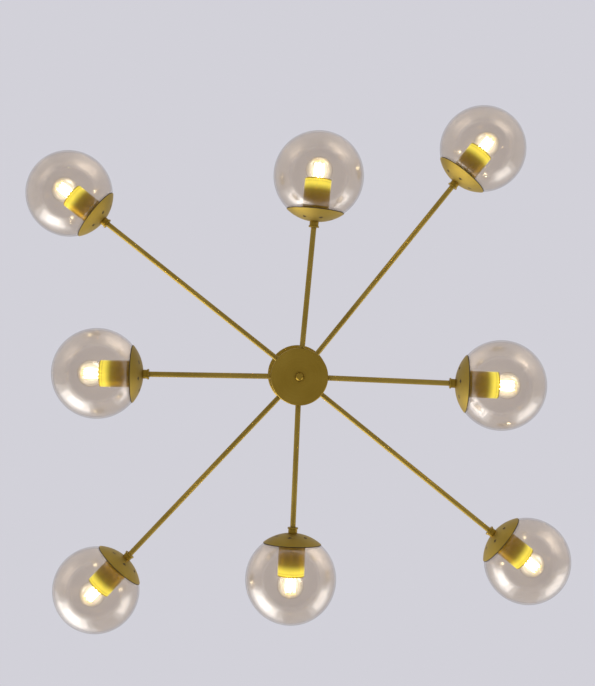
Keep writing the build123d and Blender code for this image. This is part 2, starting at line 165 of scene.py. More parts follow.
class LampSettings(bpy.types.PropertyGroup):
    """Round lamps: envelope, screw cap, filaments and their glow."""

    radius: length("Envelope radius", 22.5, "Radius of the round envelope")
    seat: length("Lamp seat", 24.8, "From the sleeve's back edge to the lamp's contact")
    neck: length("Neck radius", 6.6, "Radius of the envelope's neck")
    cap_length: length("Screw cap length", 25.5, "From the lamp's contact to the top of the neck")
    neck_length: length("Neck length", 4.0, "Length of the straight neck")
    length: length("Lamp length", 78.0, "Length of the lamp from tip to contact")
    screw: length("Screw radius", 6.9, "Radius of the screw cap")
    strips: IntProperty(name="Filaments", description="Filament strips round the stem", default=6, min=1)
    strip_radius: length("Filament radius", 0.9, "Radius of each filament strip")
    strip_length: length("Filament length", 26.0, "Length of each filament strip")
    strip_spread: length("Filament spread", 8.0, "Distance of the strips from the lamp's axis")
    glow: colour("Glow", (1.0, 0.90, 0.62), "Colour of the lit filaments")
    strength: amount("Filament strength", 7.0, "How strongly the filaments shine")
    halo: amount("Halo strength", 150.0, "Glow of the gas round the filaments, for each metre of depth")
    halo_size: length("Halo size", 11.0, "Radius at which the glow round the filaments has faded to a third")
    power: amount("Lamp power", 0.9, "Light that each lamp gives its surroundings", "POWER")
    # Painted glow: these band settings give the sleeves' lit front an emission, though a sleeve is no lamp.
    painted_band_glow: colour("Band glow", (0.96, 0.89, 0.12), "Colour of the lit front of each sleeve")
    painted_band_strength: amount("Band strength", 0.92, "How strongly the lit front of each sleeve glows")
    band_width: length("Band width", 12.5, "Width of the lit front of each sleeve")


class BrassSettings(bpy.types.PropertyGroup):
    """Satin brass on the arms, hubs, caps and canopy."""

    light: colour("Light tone", (0.365, 0.244, 0.036), "Brass where the lacquer is thin")
    dark: colour("Dark tone", (0.285, 0.182, 0.021), "Brass where the lacquer is thick")
    # The sleeve tones are a warmer, lamp-lit copy of the brass: painted lamp light.
    warm_light: colour("Sleeve light tone", (0.42, 0.262, 0.012), "Lamp-lit brass of the sleeves, where it is thin")
    painted_lamplit_dark: colour("Sleeve dark tone", (0.32, 0.192, 0.007), "Lamp-lit brass of the sleeves, where it is thick")
    # The cap tones are a lighter copy of the brass for caps and arms. The thin and thick split is lacquer, and the
    # lighter level is painted light that caps and arms catch.
    cap_light: colour("Cap light tone", (0.445, 0.318, 0.064), "Caps and arms, where the lacquer is thin")
    cap_dark: colour("Cap dark tone", (0.325, 0.222, 0.036), "Caps and arms, where the lacquer is thick")
    # Inside: painted shade, a dark colour inside the caps and on their vent walls where only shade falls.
    inside: colour("Inside", (0.105, 0.072, 0.020), "Dark painted_shade inside the caps and in their vents")
    roughness: share("Roughness", 0.36, "Mean roughness of the satin finish")
    brushing: amount("Brushing", 0.06, "Strength of the fine brushed lines")
    arm: length("Arm radius", 4.5, "Radius of the arm tubes")
    spigot: length("Spigot radius", 4.0, "Radius of the turned-down ends of the arms")
    arm_wall: length("Arm wall", 1.6, "Wall of the arm tubes")
    arm_socket: length("Arm socket", 3.0, "From the collar's front down to the arm's shoulder")
    hub: length("Hub radius", 47.5, "Radius of the hubs")
    arm_seat: length("Arm seat", 1.0, "Depth that each arm is let into its hub")
    segments: IntProperty(name="Segments", description="Facets round each turned piece", default=96, min=24)


class StageSettings(bpy.types.PropertyGroup):
    """Floor, light and camera."""

    air: colour("Surroundings", (0.645, 0.638, 0.694), "Plain colour all round the object")
    floor: colour("Floor", (0.66, 0.65, 0.66), "Colour of the pale floor")
    far_floor: colour("Far floor", (0.95, 0.94, 0.97), "Colour of the floor far from the object")
    floor_drop: amount("Floor level", -4.3, "Height of the floor below the ceiling face", "LENGTH")
    floor_size: amount("Floor size", 60.0, "Side of the floor", "LENGTH")
    camera: FloatVectorProperty(
        name="Camera", description="Place of the camera, under the lower hub",
        default=(-0.0183, -0.0193, -2.7675), subtype="TRANSLATION", unit="LENGTH",
    )
    aim: FloatVectorProperty(
        name="Aim", description="Point in the lower tier that the camera looks at",
        default=(-0.0031, -0.0559, -0.53), subtype="TRANSLATION", unit="LENGTH",
    )
    lens: amount("Lens", 70.85, "Focal length in millimetres on a 36 mm film")
    window_power: amount("Window power", 36.0, "Power of the large soft light at the side", "POWER")
    fill_power: amount("Fill power", 15.0, "Power of the weaker light beside it", "POWER")


GROUPS = {
    "chandelier_glass": GlassSettings,
    "chandelier_caps": CapSettings,
    "chandelier_lamps": LampSettings,
    "chandelier_brass": BrassSettings,
    "chandelier_stage": StageSettings,
}


def chosen(group):
    """One group of the scene's settings."""
    return getattr(bpy.context.scene, f"chandelier_{group}")


# --- Node maths ---
class Wire:
    """An output socket that Python's operators act on by adding Math nodes."""

    def __init__(self, graph, socket):
        self.graph = graph
        self.socket = socket

    def __add__(self, other):
        return self.graph.maths("ADD", self, other)

    def __sub__(self, other):
        return self.graph.maths("SUBTRACT", self, other)

    def __rsub__(self, other):
        return self.graph.maths("SUBTRACT", other, self)

    def __mul__(self, other):
        return self.graph.maths("MULTIPLY", self, other)

    def __truediv__(self, other):
        return self.graph.maths("DIVIDE", self, other)

    def __pow__(self, other):
        return self.graph.maths("POWER", self, other)

    __radd__ = __add__
    __rmul__ = __mul__


class Graph:
    """Makes the nodes of one tree."""

    def __init__(self, tree):
        self.tree = tree

    def node(self, kind, settings=None, inputs=None, output=0):
        """One node: its settings first, then the values or links of its sockets."""
        made = self.tree.nodes.new(kind)
        for name, value in (settings or {}).items():
            if name == "items":
                for _ in range(value - len(made.index_switch_items)):
                    made.index_switch_items.new()
            else:
                setattr(made, name, value)
        for key, value in (inputs or {}).items():
            if isinstance(value, Wire):
                self.tree.links.new(value.socket, made.inputs[key])
            else:
                made.inputs[key].default_value = value
        return Wire(self, made.outputs[output] if len(made.outputs) else None)

    def maths(self, operation, first, second=0.0):
        return self.node("ShaderNodeMath", {"operation": operation}, {0: first, 1: second})

    def split(self, vector):
        made = self.node("ShaderNodeSeparateXYZ", {}, {0: vector})
        outputs = made.socket.node.outputs
        return [Wire(self, outputs[axis]) for axis in range(3)]

    def join(self, x, y, z):
        return self.node("ShaderNodeCombineXYZ", {}, {0: x, 1: y, 2: z})

    def mix(self, factor, first, second):
        """Blend of two colours."""
        return self.node(
            "ShaderNodeMix", {"data_type": "RGBA"}, {0: factor, 6: rgba(first), 7: rgba(second)}, output=2
        )

    def step(self, value, start, end):
        """0 before start and 1 after end, smooth between."""
        settings = {"interpolation_type": "SMOOTHSTEP"}
        return self.node("ShaderNodeMapRange", settings, {0: value, 1: start, 2: end, 3: 0.0, 4: 1.0})

    def noise(self, vector, scale, detail=2.0, roughness=0.5):
        inputs = {"Vector": vector, "Scale": scale, "Detail": detail, "Roughness": roughness}
        return self.node("ShaderNodeTexNoise", {}, inputs)

    def bump(self, height, strength, distance):
        inputs = {"Strength": strength, "Distance": distance, "Height": height}
        return self.node("ShaderNodeBump", {}, inputs)

    def finish_principled(self, inputs):
        self.finish(self.node("ShaderNodeBsdfPrincipled", {}, inputs))

    def finish(self, shader, volume=None):
        inputs = {"Surface": shader, "Volume": volume} if volume else {"Surface": shader}
        self.node("ShaderNodeOutputMaterial", {}, inputs)


def rgba(value):
    """A colour as four numbers; a wire stays as it is."""
    return value if isinstance(value, Wire) else (*value[:3], 1.0)


def new_material(name):
    material = bpy.data.materials.new(name)
    material.use_nodes = True
    material.node_tree.nodes.clear()
    return material, Graph(material.node_tree)


def once(maker):
    """A material is made at its first use and kept."""
    kept = {}

    def get(*arguments):
        if arguments not in kept:
            kept[arguments] = maker(*arguments)
        return kept[arguments]

    return get


# --- Materials ---
def object_place(graph):
    return graph.node("ShaderNodeTexCoord", {}, {}, output="Object")


def turned_place(graph):
    """Place in a turned piece's own axes: along its axis, then across it."""
    return graph.node("ShaderNodeAttribute", {"attribute_name": "turned"}, {}, output="Vector")


def ring_place(graph):
    """Two numbers that are the same all round a turned piece."""
    along, across, aside = graph.split(turned_place(graph))
    radius = (across * across + aside * aside) ** 0.5
    return along, radius


def fine_rings(graph, along, across):
    """Fine lines that a tool leaves round a turned or spun piece."""
    return graph.noise(graph.join(along, across, 0.0), FINE_RINGS, 2.0, 0.7)


def cloudy(graph, cloud, line):
    """How thin the lacquer is, from slow clouds and fine lines."""
    return graph.step(cloud * 0.7 + line * 0.3, 0.3, 0.7)


@once
def satin_brass(grain):
    """Lacquered satin brass: turned on X or spun on Z (fine rings), or drawn (fine lines along the tube)."""
    settings = chosen("brass")
    material, graph = new_material(f"satin brass, {grain}")
    place = object_place(graph)
    cloud = graph.noise(place, 14.0, 3.0)
    if grain == "turned":
        along, radius = ring_place(graph)
        line = fine_rings(graph, along, radius)
    elif grain == "spun":
        x, y, z = graph.split(place)
        line = fine_rings(graph, (x * x + y * y) ** 0.5, z)
    else:
        along, across, aside = graph.split(turned_place(graph))
        line = graph.noise(graph.join(along * 0.02, across, aside), 1800.0, 2.0, 0.7)
    tone = cloudy(graph, cloud, line)
    thin = grain == "drawn"
    # Drawn arms take the lighter cap tones: painted light on the arms.
    dark, light = (settings.cap_dark, settings.cap_light) if thin else (settings.dark, settings.light)
    inputs = {
        "Base Color": graph.mix(tone, dark, light),
        "Metallic": 1.0,
        "Roughness": settings.roughness + (0.10 if thin else -0.06) + 0.10 * cloud + 0.06 * line,
        "Normal": graph.bump(line, settings.brushing * (0.2 if thin else 1.0), BRUSH_DEPTH),
    }
    graph.finish_principled(inputs)
    return material


@once
def cap_brass():
    """Spun brass outside, with painted shade inside and in the vents: a dark colour stands in for the shade there.
    """
    settings = chosen("brass")
    material, graph = new_material("satin brass, coated inside")
    cloud = graph.noise(object_place(graph), 14.0, 3.0)
    along, radius = ring_place(graph)
    line = fine_rings(graph, along, radius)
    away = (along * along + radius * radius) ** 0.5
    outer = cap_radii()[1]
    # Painted shade: inner faces and vent walls get the dark inside colour instead of metal.
    outside = graph.step(away, outer - 0.35 * MM, outer - 0.1 * MM)
    tone = cloudy(graph, cloud, line)
    # Cap tones: a lighter copy of the brass, painted light on the caps.
    brass = graph.mix(tone, settings.cap_dark, settings.cap_light)
    inputs = {
        "Base Color": graph.mix(outside, settings.inside, brass),
        "Metallic": outside,
        "Roughness": settings.roughness + 0.08 + 0.10 * cloud + 0.06 * line + (1.0 - outside) * 0.2,
        "Normal": graph.bump(line, settings.brushing, BRUSH_DEPTH),
    }
    graph.finish_principled(inputs)
    return material


@once
def sleeve_brass():
    """Satin brass with painted lamp light: a lamp-lit copy of the brass, and a painted glow on its front end where
    the lamp in front of it lights it up.
    """
    brass = chosen("brass")
    lamp = chosen("lamps")
    material, graph = new_material("satin brass, lit sleeve")
    along, radius = ring_place(graph)
    line = fine_rings(graph, along, radius)
    cloud = graph.noise(object_place(graph), 14.0, 3.0)
    front = sleeve_ends()[1]
    # Painted light: the front band, its spill and a faint glow all over are emission standing in for lamp light on
    # the brass.
    lit = graph.step(along, front - 1.75 * lamp.band_width, front - 0.55 * lamp.band_width)
    lip = graph.step(along, front - 0.0024, front - 0.0014)
    groove = graph.step(along, front - 0.0064, front - 0.0058) - graph.step(along, front - 0.0050, front - 0.0044)
    painted_spill = graph.step(along, front - 3.4 * lamp.band_width, front - lamp.band_width)
    painted_glow_band = lit * (1.0 - lip) * (1.0 - groove * 0.35) * (0.8 + 0.4 * cloud)
    glow = painted_glow_band * lamp.painted_band_strength + painted_spill * painted_spill * 0.14 + 0.012
    inputs = {
        # Base tones: the lamp-lit copy of the brass, painted lamp light.
        "Base Color": graph.mix(line, brass.painted_lamplit_dark, brass.warm_light),
        "Metallic": 1.0,
        "Roughness": brass.roughness + 0.1 * cloud,
        "Normal": graph.bump(line, brass.brushing, BRUSH_DEPTH),
        "Emission Color": graph.mix(glow, (0.0, 0.0, 0.0), lamp.painted_band_glow),
        "Emission Strength": 1.0,
    }
    graph.finish_principled(inputs)
    return material


@once
def tinted_glass():
    """Thin champagne glass: it passes a tint, mirrors at its faces and darkens at its outline."""
    settings = chosen("glass")
    material, graph = new_material("champagne glass")
    place = object_place(graph)
    ripple = graph.noise(place, 22.0, 1.5)
    streak = graph.noise(place, 9.0, 2.0)
    normal = graph.bump(ripple, settings.waviness, 0.0012)
    facing = graph.node("ShaderNodeLayerWeight", {}, {"Blend": 0.5}, output="Facing")
    edge = graph.step(facing, 0.70, 0.96) * 0.95 + 0.05 * streak
    tint = graph.mix(edge, settings.tint, settings.edge_tint)
    clear = graph.node("ShaderNodeBsdfTransparent", {}, {"Color": tint})
    mirror = graph.node(
        "ShaderNodeBsdfGlossy", {}, {"Color": (1.0, 1.0, 1.0, 1.0), "Roughness": 0.19, "Normal": normal}
    )
    gloss = graph.node("ShaderNodeFresnel", {}, {"IOR": 1.52, "Normal": normal})
    share_of_mirror = graph.node(
        "ShaderNodeClamp", {}, {"Value": gloss * 0.95 - 0.026, "Min": 0.0, "Max": 0.24}
    )
    graph.finish(graph.node("ShaderNodeMixShader", {}, {0: share_of_mirror, 1: clear, 2: mirror}))
    return material


def halo(graph, tier):
    """Soft glow of the gas round each lamp's filaments, strongest at their middle."""
    lamp = chosen("lamps")
    place = object_place(graph)
    middle = lamp_places()[1]
    nearest = 1.0
    for arm in ARMS:
        spot = arm_spot(tier, arm, middle)
        away = graph.node("ShaderNodeVectorMath", {"operation": "DISTANCE"}, {0: place, 1: spot}, output="Value")
        nearest = graph.maths("MINIMUM", away, nearest)
    fade = nearest / lamp.halo_size
    density = graph.maths("EXPONENT", fade * fade * -1.0) * lamp.halo
    return graph.node("ShaderNodeEmission", {}, {"Color": rgba(lamp.glow), "Strength": density})


@once
def lamp_glass(tier):
    """Clear envelope glass round a warm glow."""
    material, graph = new_material(f"lamp glass, {tier} tier")
    facing = graph.node("ShaderNodeLayerWeight", {}, {"Blend": 0.5}, output="Facing")
    tint = graph.mix(graph.step(facing, 0.6, 1.0), (0.985, 0.975, 0.95), (0.84, 0.81, 0.75))
    clear = graph.node("ShaderNodeBsdfTransparent", {}, {"Color": tint})
    swirl = graph.noise(object_place(graph), 60.0, 1.0)
    normal = graph.bump(swirl, 0.2, 0.0005)
    mirror = graph.node(
        "ShaderNodeBsdfGlossy", {}, {"Color": (1.0, 1.0, 1.0, 1.0), "Roughness": 0.04, "Normal": normal}
    )
    gloss = graph.node("ShaderNodeFresnel", {}, {"IOR": 1.5, "Normal": normal})
    glass = graph.node("ShaderNodeMixShader", {}, {0: gloss * 0.4, 1: clear, 2: mirror})
    graph.finish(glass, halo(graph, tier))
    material.cycles.volume_step_rate = 0.04
    return material


@once
def lit_filament():
    """Glowing phosphor strips on a dull glass stem."""
    lamp = chosen("lamps")
    material, graph = new_material("lit filament")
    along, radius = ring_place(graph)
    strip = graph.step(radius, lamp.strip_spread * 0.6, lamp.strip_spread * 0.8)
    beads = graph.noise(graph.join(along, radius * 0.2, 0.0), 700.0, 1.0)
    middle = lamp_places()[1]
    place = (along - middle) / (0.5 * lamp.strip_length)
    fade = 1.0 - graph.step(place * place, 0.2, 0.85) * 0.97
    glow = strip * fade * (0.85 + 0.3 * beads) + (1.0 - strip) * 0.05
    inputs = {
        "Base Color": graph.mix(strip, (0.75, 0.73, 0.68), (0.95, 0.80, 0.45)),
        "Roughness": 0.45 + 0.1 * beads,
        "Emission Color": graph.mix(glow, (0.0, 0.0, 0.0), lamp.glow),
        "Emission Strength": lamp.strength,
    }
    graph.finish_principled(inputs)
    return material


@once
def plain_metal(name, dark, light, roughness):
    """Plated or drawn metal with a soft cloud and fine scratches."""
    material, graph = new_material(name)
    place = object_place(graph)
    cloud = graph.noise(place, 60.0, 3.0)
    scratch = graph.noise(place, 1400.0, 2.0, 0.7)
    inputs = {
        "Base Color": graph.mix(cloud, dark, light),
        "Metallic": 1.0,
        "Roughness": roughness - 0.06 + 0.12 * cloud,
        "Normal": graph.bump(scratch, 0.18, 0.00005),
    }
    graph.finish_principled(inputs)
    return material


@once
def plain_solid(name, dark, light, roughness, grain_scale):
    """Rubber, moulded plastic or glazed porcelain with a fine grain."""
    material, graph = new_material(name)
    place = object_place(graph)
    cloud = graph.noise(place, 35.0, 2.0)
    grain = graph.noise(place, grain_scale, 2.0, 0.6)
    inputs = {
        "Base Color": graph.mix(cloud, dark, light),
        "Roughness": roughness - 0.05 + 0.10 * grain,
        "Normal": graph.bump(grain, 0.15, 0.0001),
    }
    graph.finish_principled(inputs)
    return material


def zinc():
    return plain_metal("zinc plate", (0.50, 0.51, 0.52), (0.68, 0.69, 0.70), 0.36)


def nickel():
    return plain_metal("nickel plate", (0.60, 0.57, 0.52), (0.76, 0.73, 0.68), 0.26)


def spring_steel():
    return plain_metal("spring steel", (0.36, 0.35, 0.34), (0.50, 0.49, 0.47), 0.30)


def drawn_brass():
    return plain_metal("drawn brass", (0.62, 0.46, 0.18), (0.78, 0.60, 0.28), 0.28)


def rubber():
    return plain_solid("black rubber", (0.020, 0.017, 0.012), (0.045, 0.038, 0.028), 0.6, 900.0)


def porcelain():
    return plain_solid("porcelain", (0.80, 0.78, 0.74), (0.88, 0.87, 0.84), 0.22, 300.0)


def nylon():
    return plain_solid("natural nylon", (0.78, 0.77, 0.73), (0.86, 0.86, 0.83), 0.45, 700.0)


def sheath():
    return plain_solid("cable sheath", (0.72, 0.70, 0.64), (0.82, 0.80, 0.75), 0.5, 800.0)


# --- Turned shapes ---
def arc(centre, radius, start, end, steps):
    """Points (along, across) on a circle about a place on the axis, angles from the forward axis."""
    turn = [start + (end - start) * step / steps for step in range(steps + 1)]
    return [(centre + radius * cos(angle), max(radius * sin(angle), 0.0)) for angle in turn]


def back_angle(radius, across):
    """Angle from the forward axis of a circle's point in its back half, that far from the axis."""
    return pi - acos(sqrt(radius ** 2 - across ** 2) / radius)


def softened(profile, size, steps=3):
    """A closed outline with each corner rounded by up to the given size."""
    rounded = []
    for index, corner in enumerate(profile):
        here = Vector(corner)
        before = Vector(profile[index - 1]) - here
        after = Vector(profile[(index + 1) % len(profile)]) - here
        straight = before.length * after.length < 1e-12 or before.angle(after) > radians(160)
        if straight or corner[1] < 1e-7:
            rounded.append(corner)
            continue
        cut = min(size, 0.45 * before.length, 0.45 * after.length)
        start = here + before.normalized() * cut
        end = here + after.normalized() * cut
        for step in range(steps + 1):
            s = step / steps
            point = start * (1 - s) ** 2 + here * 2 * s * (1 - s) + end * s ** 2
            rounded.append((point.x, point.y))
    return rounded


def axes_of(axis):
    """Turns (along, across, aside) into x, y, z for a piece turned on X or on Z."""
    if axis == "X":
        return lambda along, across, aside: (along, across, aside)
    return lambda along, across, aside: (across, aside, along)


def turned(name, profile, segments, axis="X"):
    """Closed surface of revolution from an outline of (along, radius) points."""
    place = axes_of(axis)
    points = []
    marks = []
    rings = []
    for along, radius in profile:
        if radius < 1e-7:
            rings.append([len(points)] * segments)
            points.append(place(along, 0.0, 0.0))
            marks.append((along, 0.0, 0.0))
            continue
        rings.append(list(range(len(points), len(points) + segments)))
        for segment in range(segments):
            angle = 2 * pi * segment / segments
            spot = (along, radius * cos(angle), radius * sin(angle))
            points.append(place(*spot))
            marks.append(spot)
    faces = []
    for near, far in zip(rings, rings[1:] + rings[:1]):
        for segment in range(segments):
            following = (segment + 1) % segments
            loop = dict.fromkeys((near[segment], near[following], far[following], far[segment]))
            if len(loop) > 2:
                faces.append(tuple(loop))
    return mesh_object(name, points, faces, marks)


def mesh_object(name, points, faces, marks):
    """Object at the origin with outward faces, smooth shading and its own turned coordinates."""
    mesh = bpy.data.meshes.new(name)
    mesh.from_pydata(points, [], faces)
    attribute = mesh.attributes.new("turned", "FLOAT_VECTOR", "POINT")
    attribute.data.foreach_set("vector", [value for mark in marks for value in mark])
    face_outwards(mesh)
    smooth(mesh)
    made = bpy.data.objects.new(name, mesh)
    bpy.context.scene.collection.objects.link(made)
    return made


def face_outwards(mesh):
    """Turns a closed mesh inside out if its signed volume is negative."""
    mesh.validate()
    mesh.calc_loop_triangles()
    corners = [[mesh.vertices[index].co for index in triangle.vertices] for triangle in mesh.loop_triangles]
    if sum(a.dot(b.cross(c)) for a, b, c in corners) < 0:
        mesh.flip_normals()


def smooth(mesh):
    mesh.shade_smooth()
    mesh.set_sharp_from_angle(angle=radians(38))


def dress(piece, material):
    piece.data.materials.clear()
    piece.data.materials.append(material)
    return piece


def place_on_arm(piece, tier, arm, from_globe=True):
    """Moves a piece's mesh from its own axes to one arm."""
    reach = tier_reach(tier) if from_globe else 0.0
    spot = Vector((reach, 0.0, 0.0))
    turn = Matrix.Rotation(arm_angle(tier, arm), 4, "Z")
    height = Matrix.Translation((0.0, 0.0, tier_height(tier)))
    piece.data.transform(height @ turn @ Matrix.Translation(spot))
    return piece


def install(piece, body, slot, *nodes):
    """Fixes a finished piece to its body in place of its CAD nodes."""
    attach(piece, body)
    if nodes:
        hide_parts(*nodes)
    return piece


def refinish(node, material):
    """Gives a CAD node that is shown as it is its finish."""
    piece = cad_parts[node]
    for slot in piece.material_slots:
        slot.material = material
    if not piece.material_slots:
        piece.data.materials.append(material)


# --- Geometry Nodes ---
def new_geometry_tree(name, inputs):
    """Node tree with a mesh in, a mesh out and named inputs, as {name: (socket type, default)}."""
    tree = bpy.data.node_groups.new(name, "GeometryNodeTree")
    tree.interface.new_socket("Mesh", in_out="INPUT", socket_type="NodeSocketGeometry")
    for label, (kind, default) in inputs.items():
        socket = tree.interface.new_socket(label, in_out="INPUT", socket_type=kind)
        if default is not None:
            socket.default_value = default
    tree.interface.new_socket("Mesh", in_out="OUTPUT", socket_type="NodeSocketGeometry")
    graph = Graph(tree)
    entry = graph.node("NodeGroupInput").socket.node
    return tree, graph, {socket.name: Wire(graph, socket) for socket in entry.outputs if socket.name}


def close_geometry_tree(graph, geometry, material):
    """Ends a tree in plain meshes with their material."""
    real = graph.node("GeometryNodeRealizeInstances", {}, {"Geometry": geometry})
    painted = graph.node("GeometryNodeSetMaterial", {}, {"Geometry": real, "Material": material})
    graph.node("NodeGroupOutput", {}, {0: painted})


def copies_at(graph, instance, count, place, turn):
    """A count of copies, each at its own place and turn."""
    line = graph.node("GeometryNodeMeshLine", {}, {"Count": count})
    spots = graph.node("GeometryNodeSetPosition", {}, {"Geometry": line, "Position": place})
    inputs = {"Points": spots, "Instance": instance, "Rotation": turn}
    return graph.node("GeometryNodeInstanceOnPoints", {}, inputs)


@once
def arm_repeat_tree():
    """Puts a lamp piece on each of a tier's four arms."""
    number = "NodeSocketFloat"
    inputs = {"Reach": (number, 0.5), "Height": (number, 0.0)}
    inputs.update({f"Angle {arm}": (number, 0.0) for arm in ARMS})
    inputs.update({f"Spin {arm}": (number, 0.0) for arm in ARMS})
    inputs["Material"] = ("NodeSocketMaterial", None)
    tree, graph, given = new_geometry_tree("Repeat on arms", inputs)
    index = graph.node("GeometryNodeInputIndex")
    picked = {}
    for what in ("Angle", "Spin"):
        choices = {"Index": index}
        choices.update({str(arm - 1): given[f"{what} {arm}"] for arm in ARMS})
        settings = {"data_type": "FLOAT", "items": len(ARMS)}
        picked[what] = graph.node("GeometryNodeIndexSwitch", settings, choices)
    angle = picked["Angle"]
    across = graph.maths("COSINE", angle) * given["Reach"]
    aside = graph.maths("SINE", angle) * given["Reach"]
    turn = graph.join(picked["Spin"], 0.0, angle)
    place = graph.join(across, aside, given["Height"])
    copies = copies_at(graph, given["Mesh"], len(ARMS), place, turn)
    close_geometry_tree(graph, copies, given["Material"])
    return tree


@once
def ring_repeat_tree():
    """Repeats a piece round the X axis at a distance from it."""
    inputs = {
        "Count": ("NodeSocketInt", 4), "Distance": ("NodeSocketFloat", 0.006),
        "Material": ("NodeSocketMaterial", None),
    }
    tree, graph, given = new_geometry_tree("Repeat round an axis", inputs)
    angle = graph.node("GeometryNodeInputIndex") * (2 * pi) / given["Count"] + pi / 4
    across = graph.maths("COSINE", angle) * given["Distance"]
    aside = graph.maths("SINE", angle) * given["Distance"]
    place = graph.join(0.0, across, aside)
    copies = copies_at(graph, given["Mesh"], given["Count"], place, graph.join(angle, 0.0, 0.0))
    close_geometry_tree(graph, copies, given["Material"])
    return tree


@once
def pierce_tree():
    """Cuts a ring of round holes through a piece, along X."""
    inputs = {
        "Count": ("NodeSocketInt", 6), "Circle": ("NodeSocketFloat", 0.0273),
        "Hole": ("NodeSocketFloat", 0.002), "Depth": ("NodeSocketFloat", 0.16),
        "Material": ("NodeSocketMaterial", None),
    }
    tree, graph, given = new_geometry_tree("Pierce a ring of holes", inputs)
    angle = graph.node("GeometryNodeInputIndex") * (2 * pi) / given["Count"]
    across = graph.maths("SINE", angle) * given["Circle"]
    aside = graph.maths("COSINE", angle) * given["Circle"] * -1.0
    punch = graph.node(
        "GeometryNodeMeshCylinder", {},
        {"Vertices": HOLE_FACETS, "Radius": given["Hole"], "Depth": given["Depth"]},
    )
    place = graph.join(0.0, across, aside)
    punches = copies_at(graph, punch, given["Count"], place, (0.0, pi / 2, 0.0))
    punches = graph.node("GeometryNodeRealizeInstances", {}, {"Geometry": punches})
    cut = graph.node(
        "GeometryNodeMeshBoolean", {"operation": "DIFFERENCE"}, {"Mesh 1": given["Mesh"], "Mesh 2": punches}
    )
    close_geometry_tree(graph, cut, given["Material"])
    return tree


def run_tree(piece, tree, **values):
    """Runs a node tree on a piece and leaves its result as the piece's plain mesh."""
    modifier = piece.modifiers.new(tree.name, "NODES")
    modifier.node_group = tree
    sockets = {
        item.name.lower().replace(" ", "_"): item.identifier
        for item in tree.interface.items_tree
        if item.item_type == "SOCKET" and item.in_out == "INPUT"
    }
    for name, value in values.items():
        modifier[sockets[name]] = value
    bpy.context.view_layer.update()
    evaluated = piece.evaluated_get(bpy.context.evaluated_depsgraph_get())
    mesh = bpy.data.meshes.new_from_object(evaluated)
    piece.modifiers.remove(modifier)
    piece.data = mesh
    smooth(mesh)
    return piece


def repeat_on_arms(piece, tier, material, spins=(0.0, 0.0, 0.0, 0.0)):
    values = {f"angle_{arm}": angle for arm, angle in zip(ARMS, arm_angles(tier))}
    values.update({f"spin_{arm}": spin for arm, spin in zip(ARMS, spins)})
    return run_tree(
        piece, arm_repeat_tree(), reach=tier_reach(tier), height=tier_height(tier), material=material, **values
    )


def joined(name, pieces):
    """One object from several."""
    first = pieces[0]
    with bpy.context.temp_override(
        active_object=first, object=first, selected_objects=pieces, selected_editable_objects=pieces
    ):
        bpy.ops.object.join()
    first.name = name
    return first


# --- Sizes that pieces share ---
def cap_radii():
    caps = chosen("caps")
    inner = globe_radius() + caps.seal
    return inner, inner + caps.sheet


def cap_back():
    """Where the cap's flat seat is, behind the globe's centre."""
    caps = chosen("caps")
    return -sqrt(cap_radii()[1] ** 2 - caps.seat ** 2)


def cap_floor():
    return cap_back() + chosen("caps").seat_sheet


def sleeve_ends():
    """Back and front edges of the lamp sleeve, from the globe's centre."""
    caps = chosen("caps")
    back = -sqrt(cap_radii()[0] ** 2 - caps.sleeve ** 2) + caps.sleeve_gap
    return back, back + caps.sleeve_length


def lamp_places():
    """The lamp's contact, the envelope's centre and the top of the neck, from the globe's centre."""
    lamp = chosen("lamps")
    tip = sleeve_ends()[0] + lamp.seat
    return tip, tip + lamp.length - lamp.radius, tip + lamp.cap_length


def arm_spot(tier, arm, beyond=0.0):
    """Point on an arm's line, that far beyond the globe's centre."""
    angle = arm_angle(tier, arm)
    away = tier_reach(tier) + beyond
    return (away * cos(angle), away * sin(angle), tier_height(tier))


# --- Outlines ---
def globe_outline():
    glass = chosen("glass")
    outer = globe_radius()
    inner = outer - glass.wall
    start = back_angle(inner, glass.mouth)
    lip = softened(
        [(outer * cos(back_angle(outer, glass.mouth)) + 0.004, glass.mouth + 0.006),
         (outer * cos(back_angle(outer, glass.mouth)), glass.mouth),
         (inner * cos(start), glass.mouth),
         (inner * cos(start) + 0.004, glass.mouth + 0.006)], 0.0007)[4:-4]
    outside = arc(0.0, outer, 0.0, back_angle(outer, glass.mouth + 0.001), 56)
    inside = arc(0.0, inner, back_angle(inner, glass.mouth + 0.001), 0.0, 56)
    return outside + lip + inside


def cap_outline():
    caps = chosen("caps")
    inner, outer = cap_radii()
    rim_in = acos(-caps.rim / inner)
    rim_out = acos(-caps.rim / outer)
    seat_out = back_angle(outer, caps.seat)
    seat_edge = sqrt(inner ** 2 - cap_floor() ** 2)
    seat_in = back_angle(inner, seat_edge)
    outside = arc(0.0, outer, rim_out + 0.004, seat_out, 30)
    inside = arc(0.0, inner, seat_in, rim_in + 0.004, 30)
    rim = [(-caps.rim - 0.0001, inner * sin(rim_in) + 0.0001), (-caps.rim, inner * sin(rim_in) + 0.0003),
           (-caps.rim, outer * sin(rim_out) - 0.0003), (-caps.rim - 0.0001, outer * sin(rim_out) - 0.0001)]
    bore = [(cap_back(), caps.bore), (cap_floor(), caps.bore)]
    return rim + outside + bore + inside


def gasket_outline():
    caps = chosen("caps")
    inner = globe_radius() + 0.05 * MM
    outer = cap_radii()[0] - 0.05 * MM
    front = caps.rim - caps.proud
    back = front + caps.rubber_width
    outside = arc(0.0, outer, acos(-front / outer), acos(-back / outer), 6)
    inside = arc(0.0, inner, acos(-back / inner), acos(-front / inner), 6)
    return softened(outside + inside, 0.00018, 2)


